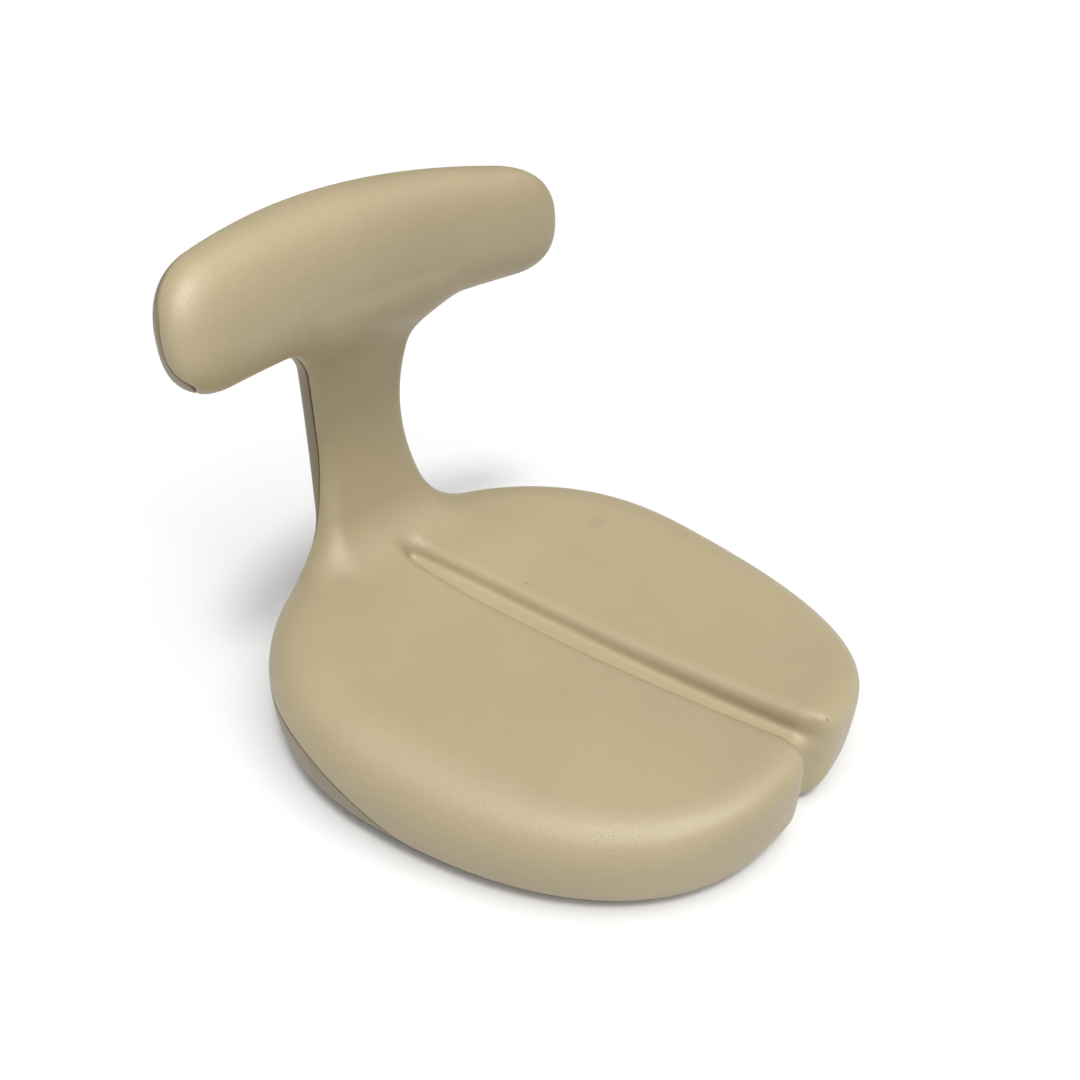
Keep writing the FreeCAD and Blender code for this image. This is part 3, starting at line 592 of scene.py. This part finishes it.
def compact(points, triangles, keep):
    used = np.unique(triangles[keep])
    renumber = np.full(len(points), -1)
    renumber[used] = np.arange(len(used))
    return points[used], renumber[triangles[keep]]


def boundary_edges(triangles):
    """Directed edges that only one triangle uses."""
    edges = np.concatenate([triangles[:, [side, (side + 1) % 3]] for side in range(3)])
    keys = {(int(a), int(b)) for a, b in edges}
    return [(a, b) for a, b in keys if (b, a) not in keys]


def rounded_edges(points, normals, sign, set_back):
    """Sinks the points near an edge along a quarter round and turns their normals with it."""
    fields = [lambda q: sign * parting_distance(q) - PARTING_GAP, cover_distance, cap_distance]
    moved = points - set_back * normals
    turned = normals.copy()
    for field in fields:
        distance = field(points)
        near = distance < EDGE_ROUND
        slope = gradient(field, points[near])
        slope -= (slope * normals[near]).sum(axis=1, keepdims=True) * normals[near]
        size = np.linalg.norm(slope, axis=1, keepdims=True)
        slope = np.divide(slope, size, out=np.zeros_like(slope), where=size > LEAST_SLOPE)
        rest = np.clip(1 - np.clip(distance[near], 0, None) / EDGE_ROUND, 0, EDGE_LEAN_LIMIT)
        sink = EDGE_ROUND * (1 - np.sqrt(1 - rest * rest))
        moved[near] -= sink[:, None] * normals[near]
        lean = np.sqrt(1 - rest * rest)[:, None] * normals[near] - rest[:, None] * slope
        turned[near] = lean / np.linalg.norm(lean, axis=1, keepdims=True)
    return moved, turned


def with_lips(points, normals, surface, triangles):
    """Turns every open edge inwards, so that the skin has a visible thickness."""
    edges = boundary_edges(triangles)
    rim = sorted({corner for edge in edges for corner in edge})
    place = {corner: len(points) + order for order, corner in enumerate(rim)}
    inner = points[rim] - LIP_DEPTH * surface[rim]
    faces = [tuple(triangle) for triangle in triangles]
    for a, b in edges:
        faces.append((b, a, place[a]))
        faces.append((b, place[a], place[b]))
    return np.concatenate([points, inner]), np.concatenate([normals, normals[rim]]), faces


def mesh_object(name, points, normals, faces):
    mesh = bpy.data.meshes.new(name)
    mesh.from_pydata((points * MM).tolist(), [], [tuple(int(i) for i in face) for face in faces])
    mesh.polygons.foreach_set("use_smooth", [True] * len(mesh.polygons))
    mesh.update()
    mesh.normals_split_custom_set_from_vertices([tuple(normal) for normal in normals])
    piece = bpy.data.objects.new(name, mesh)
    bpy.context.scene.collection.objects.link(piece)
    return piece


def build_body():
    """The foam body and the rear shell as two meshes."""
    points, triangles = chair_surface()
    points, triangles = split(points, triangles, parting_distance, 0.0, True)
    for level in (PARTING_GAP, PARTING_GAP + EDGE_ROUND_PART, PARTING_GAP + EDGE_ROUND):
        for side in (1, -1):
            points, triangles = split(points, triangles, parting_distance, side * level, False)
    for field in (cover_distance, cap_distance):
        points, triangles = split(points, triangles, field, 0.0, True)
        for level in (EDGE_ROUND_PART, EDGE_ROUND):
            points, triangles = split(points, triangles, field, level, False)
    middle = points[triangles].mean(axis=1)
    parting = parting_distance(middle)
    open_here = np.minimum(cover_distance(middle), cap_distance(middle)) < 0
    pieces = []
    for name, sign, set_back in (("foam_body", 1, 0.0), ("back_shell", -1, SHELL_SET_BACK)):
        keep = (sign * parting > PARTING_GAP) & ~open_here
        own_points, own_triangles = compact(points, triangles, keep)
        surface = surface_normals(own_points)
        moved, turned = rounded_edges(own_points, surface, sign, set_back)
        pieces.append(mesh_object(name, *with_lips(moved, turned, surface, own_triangles)))
    return pieces


# ---------------------------------------------------------------- materials


def new_material(name):
    material = bpy.data.materials.new(name)
    material.use_nodes = True
    tree = material.node_tree
    return material, tree, tree.nodes["Principled BSDF"]


def add_node(tree, kind, **settings):
    node = tree.nodes.new(kind)
    for name, value in settings.items():
        setattr(node, name, value)
    return node


def link(tree, source, output, target, socket):
    tree.links.new(source.outputs[output], target.inputs[socket])


def object_position(tree):
    return add_node(tree, "ShaderNodeTexCoord")


def noise(tree, position, scale, detail):
    node = add_node(tree, "ShaderNodeTexNoise")
    node.inputs["Scale"].default_value = scale
    node.inputs["Detail"].default_value = detail
    link(tree, position, "Object", node, "Vector")
    return node


def ramp(tree, source, low, high, low_colour, high_colour):
    """Two colours that follow a noise, from its low value to its high one."""
    node = add_node(tree, "ShaderNodeValToRGB")
    node.color_ramp.elements[0].position = low
    node.color_ramp.elements[1].position = high
    node.color_ramp.elements[0].color = (*low_colour, 1)
    node.color_ramp.elements[1].color = (*high_colour, 1)
    link(tree, source, "Fac", node, "Fac")
    return node


# sockets of the colour mix node, which has several of each name
MIX_FIRST = 6
MIX_SECOND = 7
MIX_RESULT = 2


def spot(tree, position, x, y, radius, softness):
    """1 on a round spot of the seat top and 0 outside it. Sizes are in millimetres."""
    flat = add_node(tree, "ShaderNodeVectorMath", operation="MULTIPLY")
    flat.inputs[1].default_value = (1, 1, SPOT_FLATTENING)
    link(tree, position, "Object", flat, 0)
    height = float(seat_top(np.array(x), np.array(y)))
    apart = add_node(tree, "ShaderNodeVectorMath", operation="DISTANCE")
    apart.inputs[1].default_value = (x * MM, y * MM, height * SPOT_FLATTENING * MM)
    link(tree, flat, "Vector", apart, 0)
    edge = add_node(tree, "ShaderNodeMapRange", interpolation_type="SMOOTHSTEP")
    edge.inputs["From Min"].default_value = radius * MM
    edge.inputs["From Max"].default_value = (radius - softness) * MM
    link(tree, apart, "Value", edge, "Value")
    return edge


def darker_at(tree, colour, output, place, share):
    """The colour, darkened by the share given inside the spot."""
    mix = add_node(tree, "ShaderNodeMix", data_type="RGBA", blend_type="MULTIPLY")
    weight = add_node(tree, "ShaderNodeMath", operation="MULTIPLY")
    weight.inputs[1].default_value = share
    link(tree, place, "Result", weight, 0)
    link(tree, weight, "Value", mix, "Factor")
    link(tree, colour, output, mix, MIX_FIRST)
    mix.inputs[MIX_SECOND].default_value = (0, 0, 0, 1)
    return mix


def add_bump(tree, source, output, shader, strength, depth):
    bump = add_node(tree, "ShaderNodeBump")
    bump.inputs["Strength"].default_value = strength
    bump.inputs["Distance"].default_value = depth
    link(tree, source, output, bump, "Height")
    link(tree, bump, "Normal", shader, "Normal")


def skinned_foam():
    """Cream skinned foam with a fine leather grain, faint sink marks and two vent dots."""
    material, tree, shader = new_material("foam_skin")
    position = object_position(tree)
    cloud = noise(tree, position, scale=9.0, detail=4.0)
    tone = ramp(tree, cloud, low=0.3, high=0.7, low_colour=FOAM_SHADE, high_colour=FOAM_LIGHT)
    colour, output = tone, "Color"
    for x, y in SINK_MARKS:
        place = spot(tree, position, x, y, radius=9.0, softness=4.0)
        colour, output = darker_at(tree, colour, output, place, share=0.06), MIX_RESULT
    for x, y in VENT_DOTS:
        place = spot(tree, position, x, y, radius=1.1, softness=0.5)
        colour, output = darker_at(tree, colour, output, place, share=0.45), MIX_RESULT
    link(tree, colour, output, shader, "Base Color")
    patches = noise(tree, position, scale=60.0, detail=3.0)
    sheen = add_node(tree, "ShaderNodeMapRange")
    sheen.inputs["To Min"].default_value = 0.35
    sheen.inputs["To Max"].default_value = 0.45
    link(tree, patches, "Fac", sheen, "Value")
    link(tree, sheen, "Result", shader, "Roughness")
    cells = add_node(tree, "ShaderNodeTexVoronoi", feature="DISTANCE_TO_EDGE")
    cells.inputs["Scale"].default_value = 900.0
    link(tree, position, "Object", cells, "Vector")
    add_bump(tree, cells, "Distance", shader, strength=0.6, depth=0.0004)
    return material


def plain_material(name, colour, roughness, metallic=0.0, grain=700.0, strength=0.2):
    """A moulded, painted or plated finish with a fine grain of its own."""
    material, tree, shader = new_material(name)
    position = object_position(tree)
    cloud = noise(tree, position, scale=30.0, detail=4.0)
    darker = tuple(channel * PLAIN_SHADE for channel in colour)
    tone = ramp(tree, cloud, low=0.35, high=0.65, low_colour=darker, high_colour=colour)
    link(tree, tone, "Color", shader, "Base Color")
    shader.inputs["Roughness"].default_value = roughness
    shader.inputs["Metallic"].default_value = metallic
    fine = noise(tree, position, scale=grain, detail=2.0)
    add_bump(tree, fine, "Fac", shader, strength, depth=0.0001)
    return material


def paint(piece, material):
    piece.data.materials.clear()
    piece.data.materials.append(material)


# ---------------------------------------------------------------- camera and light

CAMERA_AZIMUTH = math.radians(-52.04)
CAMERA_ELEVATION = math.radians(32.04)
CAMERA_DISTANCE = 0.7256
CAMERA_TARGET = Vector((0.0203, 0.0261, 0.1084))
CAMERA_LENS = 35.17

WORLD_STRENGTH = 0.12
FLOOR_SIZE = 16.0
FLOOR_GREY = 0.72
FLOOR_ROUGHNESS = 0.9


def add_camera():
    back = Vector((
        math.sin(CAMERA_AZIMUTH) * math.cos(CAMERA_ELEVATION),
        -math.cos(CAMERA_AZIMUTH) * math.cos(CAMERA_ELEVATION),
        math.sin(CAMERA_ELEVATION),
    ))
    data = bpy.data.cameras.new("camera")
    data.lens = CAMERA_LENS
    data.sensor_width = 36.0
    data.clip_start = 0.01
    camera = bpy.data.objects.new("camera", data)
    camera.location = CAMERA_TARGET + back * CAMERA_DISTANCE
    camera.rotation_euler = (-back).to_track_quat("-Z", "Y").to_euler()
    bpy.context.scene.collection.objects.link(camera)
    bpy.context.scene.camera = camera


def add_pool_light(name, location, target, size, spread, power):
    """A small square light with a narrow beam. The spread is in degrees."""
    data = bpy.data.lights.new(name, "AREA")
    data.size = size
    data.spread = math.radians(spread)
    data.energy = power
    light = bpy.data.objects.new(name, data)
    light.location = location
    light.rotation_euler = (target - Vector(location)).to_track_quat("-Z", "Y").to_euler()
    bpy.context.scene.collection.objects.link(light)


def add_soft_sun(name, direction, angle, strength):
    """A sun that shines along the direction. The angle is in degrees: the wider, the softer."""
    data = bpy.data.lights.new(name, "SUN")
    data.angle = math.radians(angle)
    data.energy = strength
    light = bpy.data.objects.new(name, data)
    light.rotation_euler = Vector(direction).to_track_quat("-Z", "Y").to_euler()
    bpy.context.scene.collection.objects.link(light)


def add_studio():
    world = bpy.data.worlds.new("studio")
    world.use_nodes = True
    background = world.node_tree.nodes["Background"]
    background.inputs["Color"].default_value = (1, 1, 1, 1)
    background.inputs["Strength"].default_value = WORLD_STRENGTH
    bpy.context.scene.world = world
    bpy.context.scene.view_settings.view_transform = "Standard"
    add_soft_sun("broad_key", (0.14, 0.32, -0.93), angle=70.0, strength=3.15)
    add_soft_sun("highlight", (0.24, 0.33, -0.91), angle=12.0, strength=1.35)
    bar_end = Vector((-0.2, 0.12, 0.31))
    add_pool_light("bar_end_light", (-0.12, -0.87, 0.975), bar_end, size=0.2, spread=17.0, power=0.06)

    bpy.ops.mesh.primitive_plane_add(size=FLOOR_SIZE, location=(0, 0, 0))
    floor = bpy.context.object
    floor.name = "floor"
    material, tree, shader = new_material("floor_paper")
    shader.inputs["Base Color"].default_value = (FLOOR_GREY, FLOOR_GREY, FLOOR_GREY, 1)
    shader.inputs["Roughness"].default_value = FLOOR_ROUGHNESS
    paint(floor, material)


# ---------------------------------------------------------------- build


def paint_cad_nodes(shell_plastic_with_painted_shade):
    """Gives each CAD node the finish of its kind, by the start of its name."""
    finishes = {
        "cushion_moulding": plain_material("hidden_foam", FOAM_LIGHT, roughness=0.6),
        "rear_shell": shell_plastic_with_painted_shade,
        "base_cover": shell_plastic_with_painted_shade,
        "screw_cap": plain_material("cap_plastic", (0.24, 0.195, 0.117), roughness=0.4, grain=900.0),
        "foot_screw": plain_material("plated_steel", (0.60, 0.60, 0.58), roughness=0.3, metallic=1.0),
        "foot": plain_material("foot_rubber", (0.045, 0.043, 0.04), roughness=0.85, grain=1200.0),
        "seat_board": plain_material("plywood", (0.46, 0.31, 0.16), roughness=0.65, grain=300.0),
        "spine_bar": plain_material("painted_steel", (0.035, 0.035, 0.037), roughness=0.42),
    }
    finishes["lumbar_plate"] = finishes["spine_bar"]
    for start in ("frame_bolt", "tee_nut", "lumbar_bolt", "lumbar_nut", "shell_screw"):
        finishes[start] = finishes["foot_screw"]
    for node in bpy.data.objects:
        if "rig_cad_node" not in node:
            continue
        for start, finish in finishes.items():
            if node.name.startswith(start):
                paint(node, finish)
                break


def build():
    foam, shell = build_body()
    # the shell's colour is its own plastic tone plus painted shade
    shell_plastic_with_painted_shade = plain_material("shell_plastic_with_painted_shade", SHELL_TONE_WITH_PAINTED_SHADE, roughness=0.42, grain=800.0, strength=0.35)
    paint(foam, skinned_foam())
    paint(shell, shell_plastic_with_painted_shade)
    paint_cad_nodes(shell_plastic_with_painted_shade)
    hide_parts("cushion_moulding")
    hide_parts("rear_shell")
    for piece in (foam, shell):
        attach(piece, "root")


build()
add_studio()
add_camera()
